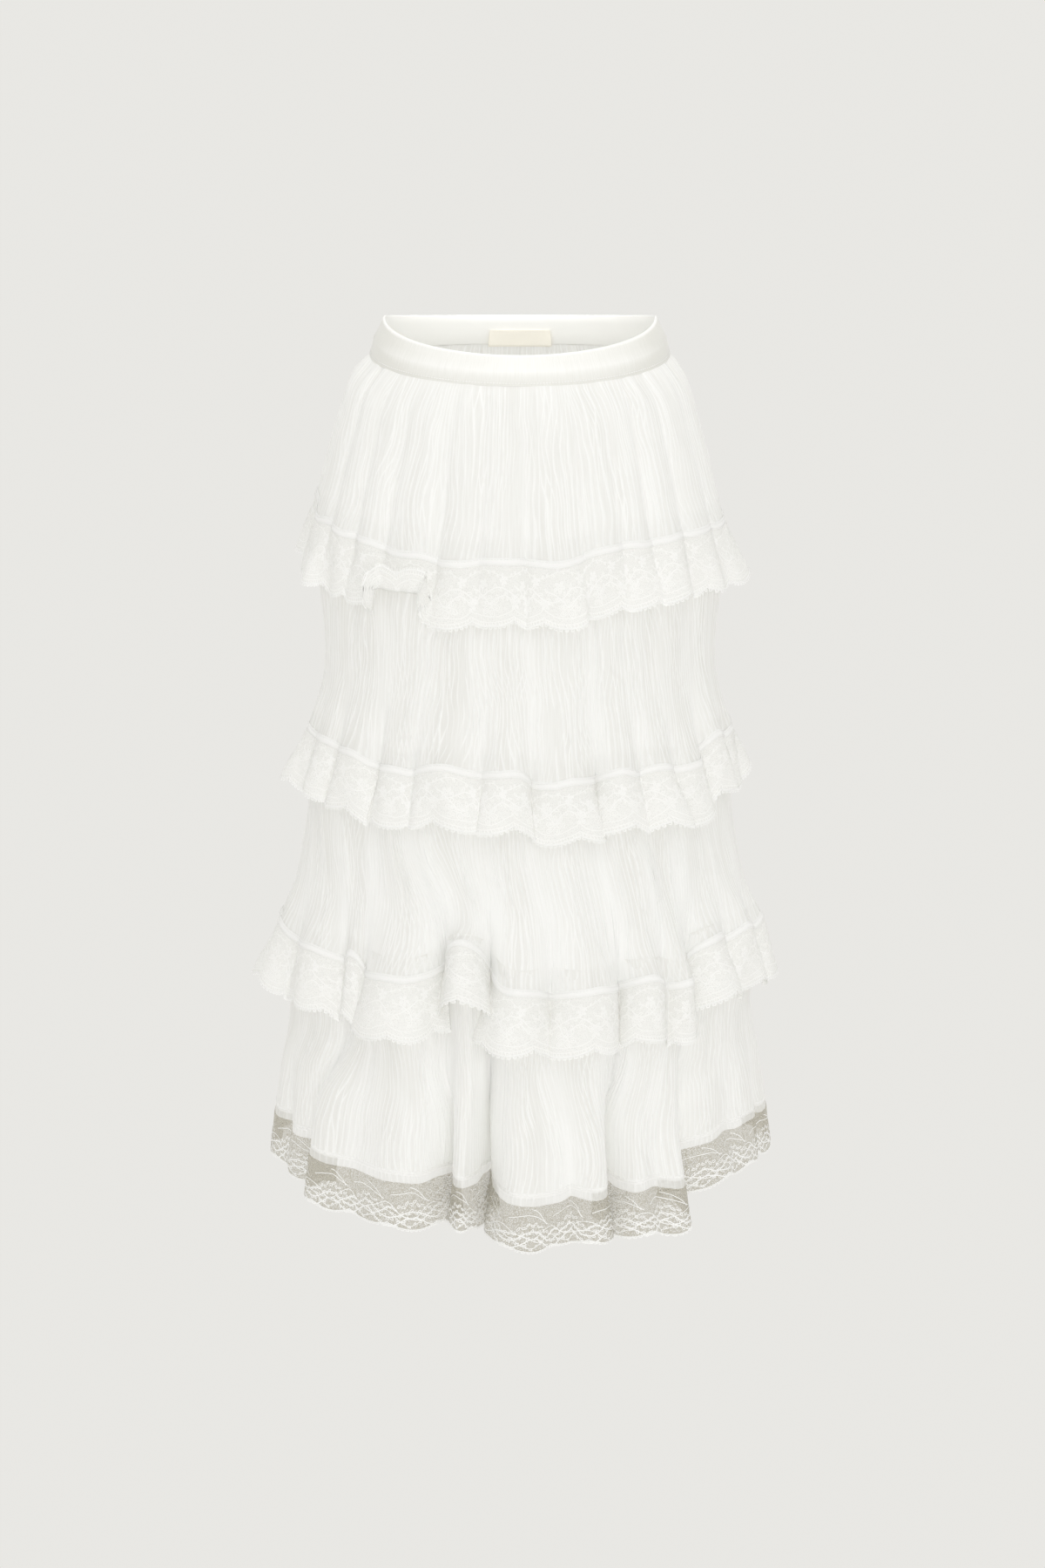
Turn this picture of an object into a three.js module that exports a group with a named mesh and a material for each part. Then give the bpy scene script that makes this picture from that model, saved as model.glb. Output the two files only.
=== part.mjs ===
// A midi skirt in four tiers of crinkled chiffon, filled out as if worn and hollow inside.
// Each tier hangs from inside the one above it, and ends in a narrow hem tape and a gathered lace ruffle.
// Units are millimetres. +Z is up, the front faces -Y, and the origin is the middle of the waist opening.
import * as THREE from "three";

// Wall thicknesses, the gap that parts two pieces at a seam, and the depth of the hem tape.
const CLOTH_WALL = 1.2;
const BAND_WALL = 2.4;
const LABEL_WALL = 0.8;
const SEAM_GAP = 0.3;
const TAPE_HEIGHT = 7;

// Each lower tier is joined inside the tier above, this far over its hem, and hangs this far inside the hem.
const JOIN_HEIGHT = 24;
const HEM_INSET = 3;

// The label reaches from the band's middle ring to this many times the way down to its lower ring.
const LABEL_REACH = 1.23;
const LABEL_WIDTH = 61;
const BAND_STEPS = 48;

// Level rings of the skirt's mean surface. drop: depth below the origin at the side seams.
// wide, deep: half of the ring's width and depth. dip: how much lower the ring runs at the centre front.
// rise: how much higher it runs at the centre back.
const BAND_RINGS = [
  { drop: -19, wide: 130, deep: 86, dip: 37, rise: 1 },
  { drop: -1, wide: 137, deep: 93, dip: 33, rise: 4 },
  { drop: 16, wide: 144, deep: 100, dip: 30, rise: 8 },
];
// Each tier's rings, from its top edge to its hem. The first tier starts under the waistband, and each
// other one on the inside of the tier above. own: how far the ring has turned from the folds of the tier
// above to the tier's own. full: how much of the depth of its folds the ring shows.
const TIERS = [
  {
    name: "tier_1",
    rings: [
      { drop: 16, wide: 144, deep: 100, dip: 30, rise: 8, own: 1, full: 0 },
      { drop: 42, wide: 160, deep: 118, dip: 30, rise: 12, own: 1, full: 0.45 },
      { drop: 82, wide: 172, deep: 134, dip: 30, rise: 16, own: 1, full: 0.7 },
      { drop: 180, wide: 197, deep: 166, dip: 28, rise: 25, own: 1, full: 1 },
    ],
  },
  {
    name: "tier_2",
    rings: [
      { drop: 330, wide: 192, deep: 171, dip: 14, rise: 17, own: 0.95, full: 0.5 },
      { drop: 394, wide: 206, deep: 181, dip: 12, rise: 15, own: 1, full: 1 },
    ],
  },
  {
    name: "tier_3",
    rings: [
      { drop: 452, wide: 208, deep: 182, dip: 12, rise: 13, own: 0, full: 1 },
      { drop: 525, wide: 221, deep: 195, dip: 14, rise: 10, own: 0.95, full: 0.4 },
      { drop: 584, wide: 234, deep: 206, dip: 16, rise: 8, own: 1, full: 1 },
    ],
  },
  {
    name: "tier_4",
    rings: [
      { drop: 649, wide: 228, deep: 203, dip: 19, rise: 7, own: 0, full: 1 },
      { drop: 706, wide: 235, deep: 212, dip: 22, rise: 6, own: 0.95, full: 0.72 },
      { drop: 765, wide: 240, deep: 218, dip: 25, rise: 5, own: 1, full: 1 },
    ],
  },
];
// The lace ruffle under each tier. length: its depth below the hem. flare: how far its edge stands out
// from the hem. wave: the height of its ruffle waves. scallop: the depth of its scallops.
const LACES = [
  { name: "lace_1", length: 57, flare: 9, wave: 7, scallop: 5 },
  { name: "lace_2", length: 52, flare: 8, wave: 6, scallop: 5 },
  { name: "lace_3", length: 55, flare: 3, wave: 6, scallop: 5 },
  { name: "lace_4", length: 44, flare: 1, wave: 6, scallop: 5 },
];

// The fold lines that run down the skirt, one row for each, with a value for each of the four tiers.
// at: the angle of the valley round the skirt in degrees, 0 at the centre front and 90 at the wearer's
// left side.
// in: how far the valley turns in at the hem. out: how far the panel after it stands out.
// up: how far the hem of that panel is hitched up.
const FOLDS = [
  { at: [-90, -90, -90, -90], in: [2, 3, 5, 6], out: [3, 4, 8, 7], up: [12, 14, 12, 5] },
  { at: [-66, -73, -68, -74], in: [4, 4, 8, 8], out: [4, 5, 9, 2], up: [9, 14, 10, 8] },
  { at: [-52, -59, -48, -57], in: [5, 8, 15, 34], out: [4, 6, -3, 24], up: [6, 8, 13, 11] },
  { at: [-40, -41, -40.5, -38], in: [5, 9, 14, -14], out: [4, 6, 16, 26], up: [2, 0, 4, 12] },
  { at: [-23, -29, -18.2, -16.5], in: [6, 4, 24, 44], out: [5, 8, 20, 24], up: [-3, 7, 46, 14] },
  { at: [-11, -10, -7, -8.5], in: [4, 6, 20, 78], out: [4, 8, 22, 30], up: [1, 5, 1, 0] },
  { at: [1.6, 3, 6.7, 11], in: [7, 11, 6, -6], out: [5, 8, 22, 28], up: [-1, -6, -1, 1] },
  { at: [18, 21, 24, 21.3], in: [5, 13, 13, 54], out: [5, 10, 18, 20], up: [10, 2, 4, 2] },
  { at: [29, 33, 36, 31], in: [3, 3, 8, -8], out: [3, 9, 16, 22], up: [11, 1, -10, -3] },
  { at: [39, 45, 45, 40.5], in: [5, 4, 30, 42], out: [5, 8, 4, 4], up: [10, -2, 23, 24] },
  { at: [52, 59, 60, 58], in: [5, 12, 10, 2], out: [4, 5, 10, 8], up: [8, 18, 22, 22] },
  { at: [68, 74, 75, 74], in: [3, 4, 8, 5], out: [3, 4, 9, 8], up: [6, 14, 14, 11] },
  { at: [90, 90, 90, 90], in: [2, 3, 5, 6], out: [4, 5, 8, 8], up: [4, 13, 4, 4] },
  { at: [107, 106, 108, 105], in: [4, 6, 10, 16], out: [4, 6, 12, 14], up: [0, 22, 0, -4] },
  { at: [121, 123, 120, 122], in: [5, 8, 14, 28], out: [5, 7, 16, 22], up: [0, 3, 8, 2] },
  { at: [137, 135, 139, 136], in: [5, 6, 20, 34], out: [4, 8, 18, 26], up: [2, 0, 0, 6] },
  { at: [150, 153, 149, 151], in: [6, 10, 10, 20], out: [5, 8, 20, 24], up: [0, 4, 14, 0] },
  { at: [165, 164, 167, 164], in: [4, 5, 18, 40], out: [5, 7, 16, 26], up: [3, 0, 0, -4] },
  { at: [180, 182, 179, 181], in: [6, 10, 12, 26], out: [4, 8, 20, 28], up: [0, -3, 0, 6] },
  { at: [195, 193, 197, 196], in: [5, 6, 22, 44], out: [5, 8, 16, 22], up: [0, 4, 10, 0] },
  { at: [208, 211, 208, 207], in: [4, 8, 10, 18], out: [4, 7, 18, 26], up: [2, 0, 0, 0] },
  { at: [223, 222, 225, 226], in: [6, 7, 18, 36], out: [5, 8, 14, 20], up: [0, 3, 0, 6] },
  { at: [238, 240, 237, 239], in: [4, 9, 14, 22], out: [4, 6, 14, 16], up: [2, 0, 8, 2] },
  { at: [254, 252, 255, 254], in: [4, 5, 10, 14], out: [4, 5, 10, 9], up: [26, 6, 4, 0] },
];
const FULL_TURN = 360;
const FOLD_ROUNDNESS = 0.6;

// Where each fold is sampled, as shares of its width.
const SAMPLES = [0, 0.12, 0.35, 0.65, 0.88];
// How many wall offsets a sharp corner of a wall may reach out.
const MOST_MITER = 1.6;

const mix = (a, b, share) => a + (b - a) * share;
const radians = THREE.MathUtils.degToRad;

// The value of one column of the fold table for one tier, at fold position s (fold number and share).
function foldValue(column, tier, s) {
  const i = Math.floor(s) % FOLDS.length;
  const next = (i + 1) % FOLDS.length;
  const turn = column === "at" && next === 0 ? FULL_TURN : 0;
  return mix(FOLDS[i][column][tier], FOLDS[next][column][tier] + turn, s - Math.floor(s));
}

// How far one tier's hem stands out from its mean ring at fold position s.
function foldHeight(tier, s) {
  const share = s - Math.floor(s);
  const valley = -foldValue("in", tier, s);
  const crest = FOLDS[Math.floor(s) % FOLDS.length].out[tier];
  return mix(valley, crest, Math.sin(Math.PI * share) ** FOLD_ROUNDNESS);
}

// How far one tier's hem is hitched up at fold position s. A valley is hitched as far as the mean of the
// panels on both its sides.
function hitch(tier, s) {
  const count = FOLDS.length;
  const share = s - Math.floor(s);
  const i = Math.floor(s) % count;
  const neighbour = share < 0.5 ? (i + count - 1) % count : (i + 1) % count;
  const own = FOLDS[i].up[tier];
  const valley = (own + FOLDS[neighbour].up[tier]) / 2;
  return mix(valley, own, Math.sin(Math.PI * share) ** FOLD_ROUNDNESS);
}

// A point of a level ring at an angle in degrees, moved out by a distance and up by another.
function ringPoint(ring, angle, out, up) {
  const a = radians(angle);
  const front = Math.max(0, Math.cos(a));
  const back = Math.max(0, -Math.cos(a));
  const outward = new THREE.Vector2(Math.sin(a) / ring.wide, -Math.cos(a) / ring.deep).normalize();
  return new THREE.Vector3(
    ring.wide * Math.sin(a) + out * outward.x,
    -ring.deep * Math.cos(a) + out * outward.y,
    -ring.drop - ring.dip * front + ring.rise * back + up,
  );
}

// The fold positions of one whole turn.
const POSITIONS = FOLDS.flatMap((_, i) => SAMPLES.map((share) => i + share));

// A closed line of points, moved sideways in the level plane: outwards, or inwards below 0.
function offsetLine(line, distance) {
  const count = line.length;
  const normals = line.map((p, i) => {
    const q = line[(i + 1) % count];
    return new THREE.Vector2(q.y - p.y, p.x - q.x).normalize();
  });
  return line.map((p, i) => {
    const before = normals[(i + count - 1) % count];
    const after = normals[i];
    const between = before.clone().add(after).normalize();
    const reach = distance / Math.max(between.dot(after), 1 / MOST_MITER);
    return new THREE.Vector3(p.x + between.x * reach, p.y + between.y * reach, p.z);
  });
}

// One line round a tier at one of its rings.
function tierLine(tier, ring) {
  const above = Math.max(0, tier - 1);
  return POSITIONS.map((s) => {
    const angle = mix(foldValue("at", above, s), foldValue("at", tier, s), ring.own);
    const out = ring.full * mix(foldHeight(above, s), foldHeight(tier, s), ring.own);
    return ringPoint(ring, angle, out, ring.own * ring.full * hitch(tier, s));
  });
}

// The line on a tier's cloth a distance above its hem, between its last two rings.
function lineAboveHem(tier, height) {
  const [before, hem] = TIERS[tier].rings.slice(-2);
  const upper = tierLine(tier, before);
  const lower = tierLine(tier, hem);
  return lower.map((p, i) => p.clone().lerp(upper[i], height / (hem.drop - before.drop)));
}

function moveUp(line, distance) {
  return line.map((p) => new THREE.Vector3(p.x, p.y, p.z + distance));
}

// All lines round a tier's cloth, from its top edge to the top of its hem tape, or to its hem in the last.
function tierLines(tier) {
  const { rings } = TIERS[tier];
  const lines = rings.slice(0, -1).map((ring) => tierLine(tier, ring));
  if (tier === 0) {
    lines[0] = moveUp(lines[0], -SEAM_GAP);
  } else {
    const seam = offsetLine(lineAboveHem(tier - 1, JOIN_HEIGHT), -CLOTH_WALL - SEAM_GAP);
    const insideHem = offsetLine(lineAboveHem(tier - 1, 0), -HEM_INSET);
    lines.unshift(seam, insideHem);
  }
  if (tier < TIERS.length - 1) {
    lines.push(lineAboveHem(tier, JOIN_HEIGHT), moveUp(lineAboveHem(tier, TAPE_HEIGHT), SEAM_GAP));
  } else {
    lines.push(lineAboveHem(tier, 0));
  }
  return lines;
}

// The two lines round a lace ruffle: the gathered top under the hem, and the waved and scalloped edge.
function laceLines(tier) {
  const { length, flare, wave, scallop } = LACES[tier];
  const hem = TIERS[tier].rings.at(-1);
  const edgeRing = { ...hem, drop: hem.drop + length, wide: hem.wide + flare, deep: hem.deep + flare };
  const edge = POSITIONS.map((s) => {
    const swing = Math.sin(2 * Math.PI * s);
    const notch = scallop * (1 - Math.abs(swing));
    const out = foldHeight(tier, s) + (wave * (1 + swing)) / 2;
    return ringPoint(edgeRing, foldValue("at", tier, s), out, hitch(tier, s) + notch);
  });
  return [moveUp(lineAboveHem(tier, 0), -SEAM_GAP), edge];
}

// The point a distance along the line from p towards q.
function pointToward(p, q, distance) {
  return p.clone().add(q.clone().sub(p).setLength(distance));
}

// The stretch of a closed line from one index to another, drawn in at both ends by half a seam gap.
function stretch(line, from, to) {
  const points = [];
  for (let i = from; i <= to; i += 1) {
    points.push(line[i % line.length].clone());
  }
  const last = points.length - 1;
  const ends = [
    pointToward(points[0], points[1], SEAM_GAP / 2),
    pointToward(points[last], points[last - 1], SEAM_GAP / 2),
  ];
  points[0] = ends[0];
  points[last] = ends[1];
  return points;
}

// A closed wall between an outer and an inner grid of points, each a list of lines from top to bottom.
// A ring closes on itself, and a panel has an edge at each end.
function wallGeometry(outer, inner, closed) {
  const rows = outer.length;
  const columns = outer[0].length;
  const points = [...outer.flat(), ...inner.flat()];
  const at = (side, row, column) => side * rows * columns + row * columns + (column % columns);
  const faces = [];
  const quad = (a, b, c, d) => faces.push(a, b, c, a, c, d);
  const spans = closed ? columns : columns - 1;
  for (let j = 0; j < spans; j += 1) {
    for (let i = 0; i < rows - 1; i += 1) {
      quad(at(0, i, j), at(0, i + 1, j), at(0, i + 1, j + 1), at(0, i, j + 1));
      quad(at(1, i, j), at(1, i, j + 1), at(1, i + 1, j + 1), at(1, i + 1, j));
    }
    quad(at(0, 0, j), at(0, 0, j + 1), at(1, 0, j + 1), at(1, 0, j));
    quad(at(0, rows - 1, j), at(1, rows - 1, j), at(1, rows - 1, j + 1), at(0, rows - 1, j + 1));
  }
  if (!closed) {
    const end = columns - 1;
    for (let i = 0; i < rows - 1; i += 1) {
      quad(at(0, i, 0), at(1, i, 0), at(1, i + 1, 0), at(0, i + 1, 0));
      quad(at(0, i, end), at(0, i + 1, end), at(1, i + 1, end), at(1, i, end));
    }
  }
  const geometry = new THREE.BufferGeometry().setFromPoints(points);
  geometry.setIndex(faces);
  geometry.computeVertexNormals();
  return geometry;
}

const CHIFFON = new THREE.MeshStandardMaterial({ color: 0xf6f5f0, roughness: 0.9, metalness: 0 });
const TAPE = new THREE.MeshStandardMaterial({ color: 0xfbfaf6, roughness: 0.7, metalness: 0 });
const LACE = new THREE.MeshStandardMaterial({ color: 0xf4f3ee, roughness: 0.85, metalness: 0 });
const SATIN = new THREE.MeshStandardMaterial({ color: 0xf7f5ef, roughness: 0.45, metalness: 0 });
const LABEL = new THREE.MeshStandardMaterial({ color: 0xf6f0e2, roughness: 0.6, metalness: 0 });

const skirt = new THREE.Group();

function addPiece(name, geometry, material) {
  const mesh = new THREE.Mesh(geometry, material);
  mesh.name = name;
  skirt.add(mesh);
}

// The front and back panels of one wall that goes round the skirt, parted at the side seams.
function addPanels(name, lines, material) {
  const outer = lines.map((line) => offsetLine(line, CLOTH_WALL / 2));
  const inner = lines.map((line) => offsetLine(line, -CLOTH_WALL / 2));
  const half = POSITIONS.length / 2;
  [
    ["front", 0],
    ["back", half],
  ].forEach(([side, from]) => {
    const cut = (grid) => grid.map((line) => stretch(line, from, from + half));
    addPiece(`${name}_${side}`, wallGeometry(cut(outer), cut(inner), false), material);
  });
}

const BAND_STEP = FULL_TURN / BAND_STEPS;
const BAND_ANGLES = Array.from({ length: BAND_STEPS }, (_, i) => i * BAND_STEP - 90);
const BAND_LINES = BAND_RINGS.map((ring) => BAND_ANGLES.map((angle) => ringPoint(ring, angle, 0, 0)));

function addWaistband() {
  const outer = BAND_LINES.map((line) => offsetLine(line, BAND_WALL / 2));
  const inner = BAND_LINES.map((line) => offsetLine(line, -BAND_WALL / 2));
  addPiece("waistband", wallGeometry(outer, inner, true), SATIN);
}

// A plain label on the inside of the waistband at the centre back, its lower edge just below the band.
function addLabel() {
  const [, middle, bottom] = BAND_LINES;
  const centre = BAND_ANGLES.indexOf(180);
  const halfAngle = THREE.MathUtils.radToDeg(LABEL_WIDTH / 2 / BAND_RINGS[1].wide);
  const part = halfAngle / BAND_STEP - 1;
  const cut = (line) => [
    line[centre - 1].clone().lerp(line[centre - 2], part),
    line[centre - 1],
    line[centre],
    line[centre + 1],
    line[centre + 1].clone().lerp(line[centre + 2], part),
  ];
  const face = (distance) => {
    const upper = offsetLine(middle, -distance);
    const lower = offsetLine(bottom, -distance);
    return [cut(upper), cut(lower.map((p, i) => upper[i].clone().lerp(p, LABEL_REACH)))];
  };
  const near = BAND_WALL / 2 + SEAM_GAP;
  addPiece("waist_label", wallGeometry(face(near), face(near + LABEL_WALL), false), LABEL);
}

addWaistband();
addLabel();
TIERS.forEach(({ name }, tier) => {
  addPanels(name, tierLines(tier), CHIFFON);
  if (tier < TIERS.length - 1) {
    const tape = [lineAboveHem(tier, TAPE_HEIGHT), lineAboveHem(tier, 0)];
    addPanels(`hem_tape_${tier + 1}`, tape, TAPE);
  }
  addPanels(LACES[tier].name, laceLines(tier), LACE);
});

export default skirt;
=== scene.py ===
"""Looks of the tiered ruffle skirt: crinkled chiffon tiers, hem tapes, lace ruffles and a satin waistband.

Sizes are written in millimetres and turned into metres where a mesh is made. The front faces -Y.
"""
import math

import bpy
import numpy as np
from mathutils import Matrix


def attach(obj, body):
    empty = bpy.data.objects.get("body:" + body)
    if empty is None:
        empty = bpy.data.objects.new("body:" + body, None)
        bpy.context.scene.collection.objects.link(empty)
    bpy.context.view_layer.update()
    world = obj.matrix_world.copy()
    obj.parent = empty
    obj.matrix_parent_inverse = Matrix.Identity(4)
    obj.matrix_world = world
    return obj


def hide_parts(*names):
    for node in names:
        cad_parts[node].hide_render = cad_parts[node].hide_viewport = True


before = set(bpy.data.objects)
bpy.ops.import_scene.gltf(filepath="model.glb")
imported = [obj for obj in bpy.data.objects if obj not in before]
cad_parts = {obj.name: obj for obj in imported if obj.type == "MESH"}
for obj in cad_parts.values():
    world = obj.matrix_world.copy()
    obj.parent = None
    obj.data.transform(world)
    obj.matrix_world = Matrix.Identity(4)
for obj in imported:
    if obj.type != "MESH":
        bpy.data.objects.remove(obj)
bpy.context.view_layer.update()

MM = 0.001

# The cut and the folds, with the same sizes as the solids

# Each ring of cloth: how far it is below the waist, half its width and its depth, and how far its front dips
# and its back rises. Of its folds, `own` is the share that is the tier's own and not the one's above, `full`
# is how full they are, and `soft` how far, in mm, they are rounded off along the cloth.
BAND_RINGS = [
    dict(drop=-19, wide=130, deep=86, dip=37, rise=1),
    dict(drop=-1, wide=137, deep=93, dip=33, rise=4),
    dict(drop=16, wide=144, deep=100, dip=30, rise=8),
]
TIERS = [
    [
        dict(drop=16, wide=144, deep=100, dip=30, rise=8, own=1, full=0, soft=3),
        dict(drop=42, wide=160, deep=118, dip=30, rise=12, own=1, full=0.45, soft=5),
        dict(drop=82, wide=172, deep=134, dip=30, rise=16, own=1, full=0.7, soft=5),
        dict(drop=180, wide=197, deep=166, dip=28, rise=25, own=1, full=1, soft=3),
    ],
    [
        dict(drop=330, wide=192, deep=171, dip=14, rise=17, own=0.95, full=0.5, soft=15),
        dict(drop=394, wide=206, deep=181, dip=12, rise=15, own=1, full=1, soft=3),
    ],
    [
        dict(drop=452, wide=208, deep=182, dip=12, rise=13, own=0, full=1, soft=30),
        dict(drop=525, wide=221, deep=195, dip=14, rise=10, own=0.95, full=0.4, soft=30),
        dict(drop=584, wide=234, deep=206, dip=16, rise=8, own=1, full=1, soft=5.5),
    ],
    [
        dict(drop=649, wide=228, deep=203, dip=19, rise=7, own=0, full=1, soft=35),
        dict(drop=706, wide=235, deep=212, dip=22, rise=6, own=0.95, full=0.72, soft=13),
        dict(drop=765, wide=240, deep=218, dip=25, rise=5, own=1, full=1, soft=3),
    ],
]
# Each lace: its length, how far its edge stands out, the size of its ruffle waves, how many times the
# hem's length it has, and the depth of its scallops.
LACES = [
    dict(length=56, flare=11, wave=5.0, gather=1.3, scallop=6.5),
    dict(length=51, flare=10, wave=5.0, gather=1.3, scallop=6.5),
    dict(length=54, flare=6, wave=5.0, gather=1.28, scallop=6.5),
    dict(length=43, flare=4, wave=2.5, gather=1.06, scallop=4.5),
]
# Each fold: the angle of the valley before it (degrees from the front), how far that valley goes in, how far
# the fold's crest comes out, and how far the hem rises over it, with one value for each tier.
FOLDS = [
    ([-90, -90, -90, -90], [2, 3, 5, 6], [3, 4, 8, 7], [12, 14, 12, 5]),
    ([-66, -73, -68, -74], [4, 4, 8, 8], [4, 5, 9, 2], [9, 14, 10, 8]),
    ([-52, -59, -48, -57], [5, 8, 15, 34], [4, 6, -3, 24], [6, 8, 13, 11]),
    ([-40, -41, -40.5, -38], [5, 9, 14, -14], [4, 6, 16, 26], [2, 0, 4, 12]),
    ([-23, -29, -18.2, -16.5], [6, 4, 24, 44], [5, 8, 20, 24], [-3, 7, 46, 14]),
    ([-11, -10, -7, -8.5], [4, 6, 20, 78], [4, 8, 22, 30], [1, 5, 1, 0]),
    ([1.6, 3, 6.7, 11], [7, 11, 6, -6], [5, 8, 22, 28], [-1, -6, -1, 1]),
    ([18, 21, 24, 21.3], [5, 13, 13, 54], [5, 10, 18, 20], [10, 2, 4, 2]),
    ([29, 33, 36, 31], [3, 3, 8, -8], [3, 9, 16, 22], [11, 1, -10, -3]),
    ([39, 45, 45, 40.5], [5, 4, 30, 42], [5, 8, 4, 4], [10, -2, 23, 24]),
    ([52, 59, 60, 58], [5, 12, 10, 2], [4, 5, 10, 8], [8, 18, 22, 22]),
    ([68, 74, 75, 74], [3, 4, 8, 5], [3, 4, 9, 8], [6, 14, 14, 11]),
    ([90, 90, 90, 90], [2, 3, 5, 6], [4, 5, 8, 8], [4, 13, 4, 4]),
    ([107, 106, 108, 105], [4, 6, 10, 16], [4, 6, 12, 14], [0, 22, 0, -4]),
    ([121, 123, 120, 122], [5, 8, 14, 28], [5, 7, 16, 22], [0, 3, 8, 2]),
    ([137, 135, 139, 136], [5, 6, 20, 34], [4, 8, 18, 26], [2, 0, 0, 6]),
    ([150, 153, 149, 151], [6, 10, 10, 20], [5, 8, 20, 24], [0, 4, 14, 0]),
    ([165, 164, 167, 164], [4, 5, 18, 40], [5, 7, 16, 26], [3, 0, 0, -4]),
    ([180, 182, 179, 181], [6, 10, 12, 26], [4, 8, 20, 28], [0, -3, 0, 6]),
    ([195, 193, 197, 196], [5, 6, 22, 44], [5, 8, 16, 22], [0, 4, 10, 0]),
    ([208, 211, 208, 207], [4, 8, 10, 18], [4, 7, 18, 26], [2, 0, 0, 0]),
    ([223, 222, 225, 226], [6, 7, 18, 36], [5, 8, 14, 20], [0, 3, 0, 6]),
    ([238, 240, 237, 239], [4, 9, 14, 22], [4, 6, 14, 16], [2, 0, 8, 2]),
    ([254, 252, 255, 254], [4, 5, 10, 14], [4, 5, 10, 9], [26, 6, 4, 0]),
]
COUNT = len(FOLDS)
AT, IN, OUT, UP = (np.array([row[k] for row in FOLDS], float) for k in range(4))
# Below 1, the crests of the folds are broader than their valleys.
ROUNDNESS = 0.6
TAPE_HEIGHT = 7.0
# A tier hangs from a seam this far above the hem of the tier before it, and this far inside it.
JOIN_HEIGHT = 24.0
JOIN_INSET = 1.5
# How far inside that hem it passes.
HEM_INSET = 3.0
# Steps round a hem where its length is measured.
FINE = 4800
LOWEST = len(TIERS) - 1


def fold_of(s):
    """The fold that each fold position is in."""
    return np.floor(s).astype(int) % COUNT


def across(s):
    """How far across its fold each position is, from 0 to 1."""
    return s - np.floor(s)


def at_fold(table, tier, s):
    """One column of the fold table at fold positions s."""
    i = fold_of(s)
    after = (i + 1) % COUNT
    turn = 360.0 * (after == 0) if table is AT else 0.0
    return table[i, tier] + (table[after, tier] + turn - table[i, tier]) * across(s)


def bulge(s):
    """The round rise and fall of a fold: 0 in its valleys and 1 on its crest."""
    return np.clip(np.sin(math.pi * across(s)), 0, 1) ** ROUNDNESS


def fold_height(tier, s):
    """How far a tier's folds stand out from its ring."""
    valley = -at_fold(IN, tier, s)
    crest = OUT[fold_of(s), tier]
    return valley + (crest - valley) * bulge(s)


def hitch(tier, s):
    """How far a tier's hem rises over its folds."""
    i = fold_of(s)
    near = np.where(across(s) < 0.5, (i - 1) % COUNT, (i + 1) % COUNT)
    valley = (UP[i, tier] + UP[near, tier]) / 2
    return valley + (UP[i, tier] - valley) * bulge(s)


def ring_points(ring, angle, out, up=0.0):
    """Points of a ring at angles in degrees from the front, moved out and up."""
    a = np.radians(angle)
    n = np.stack([np.sin(a) / ring["wide"], -np.cos(a) / ring["deep"]])
    n /= np.linalg.norm(n, axis=0)
    front, back = np.clip(np.cos(a), 0, None), np.clip(-np.cos(a), 0, None)
    return np.stack([
        ring["wide"] * np.sin(a) + out * n[0],
        -ring["deep"] * np.cos(a) + out * n[1],
        -ring["drop"] - ring["dip"] * front + ring["rise"] * back + up,
    ], -1)


def ring_between(a, b, t):
    """The ring that lies a share t of the way from a to b."""
    return {key: a[key] + (b[key] - a[key]) * t for key in a}


def tier_line(tier, ring, s):
    """A tier's ring with its folds, which pass from those of the tier above to its own."""
    above = max(0, tier - 1)
    own, full = ring["own"], ring["full"]
    angle = at_fold(AT, above, s) * (1 - own) + at_fold(AT, tier, s) * own
    out = full * (fold_height(above, s) * (1 - own) + fold_height(tier, s) * own)
    return ring_points(ring, angle, out, own * full * hitch(tier, s))


def above_hem(tier, height, s):
    """The line of a tier at a height above its hem."""
    before, hem = TIERS[tier][-2:]
    share = height / (hem["drop"] - before["drop"])
    return tier_line(tier, hem, s) * (1 - share) + tier_line(tier, before, s) * share


def blur(line, cells):
    """Rounds a closed line of points, a Gaussian so many cells wide."""
    f = np.fft.rfftfreq(len(line))
    keep = np.exp(-2 * (math.pi * f * cells) ** 2)
    return np.fft.irfft(np.fft.rfft(line, axis=0) * keep[:, None], len(line), axis=0)


def outward(line):
    """Level outward directions of a closed line."""
    t = np.roll(line, -1, 0) - np.roll(line, 1, 0)
    n = np.stack([t[:, 1], -t[:, 0], np.zeros(len(t))], -1)
    return n / np.linalg.norm(n, axis=1, keepdims=True)


# Smooth noise, the same on each run


def smooth(t):
    """Eases a share from 0 to 1."""
    t = np.clip(t, 0, 1)
    return t * t * (3 - 2 * t)


class Noise:
    """Smooth noise over (x, y), with one cell a unit. It repeats along x after `cells`."""

    ROWS = 64

    def __init__(self, seed, cells):
        self.cells = max(1, int(cells))
        self.grid = np.random.default_rng(seed).uniform(-1, 1, (self.ROWS, self.cells))

    def __call__(self, x, y=0.0):
        x, y = np.broadcast_arrays(np.asarray(x, float), np.asarray(y, float))
        i, j = np.floor(y).astype(int), np.floor(x).astype(int)
        u, v = x - j, y - i
        u, v = u * u * (3 - 2 * u), v * v * (3 - 2 * v)
        g = self.grid
        i0, i1, j0, j1 = i % self.ROWS, (i + 1) % self.ROWS, j % self.cells, (j + 1) % self.cells
        low = g[i0, j0] * (1 - u) + g[i0, j1] * u
        high = g[i1, j0] * (1 - u) + g[i1, j1] * u
        return low * (1 - v) + high * v


def noise_round(seed, cells, along, total, y=0.0):
    """Noise at distances along a closed line of a total length, in so many cells, and at y down it."""
    return Noise(seed, cells)(along * cells / total, y)


# Meshes


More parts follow.
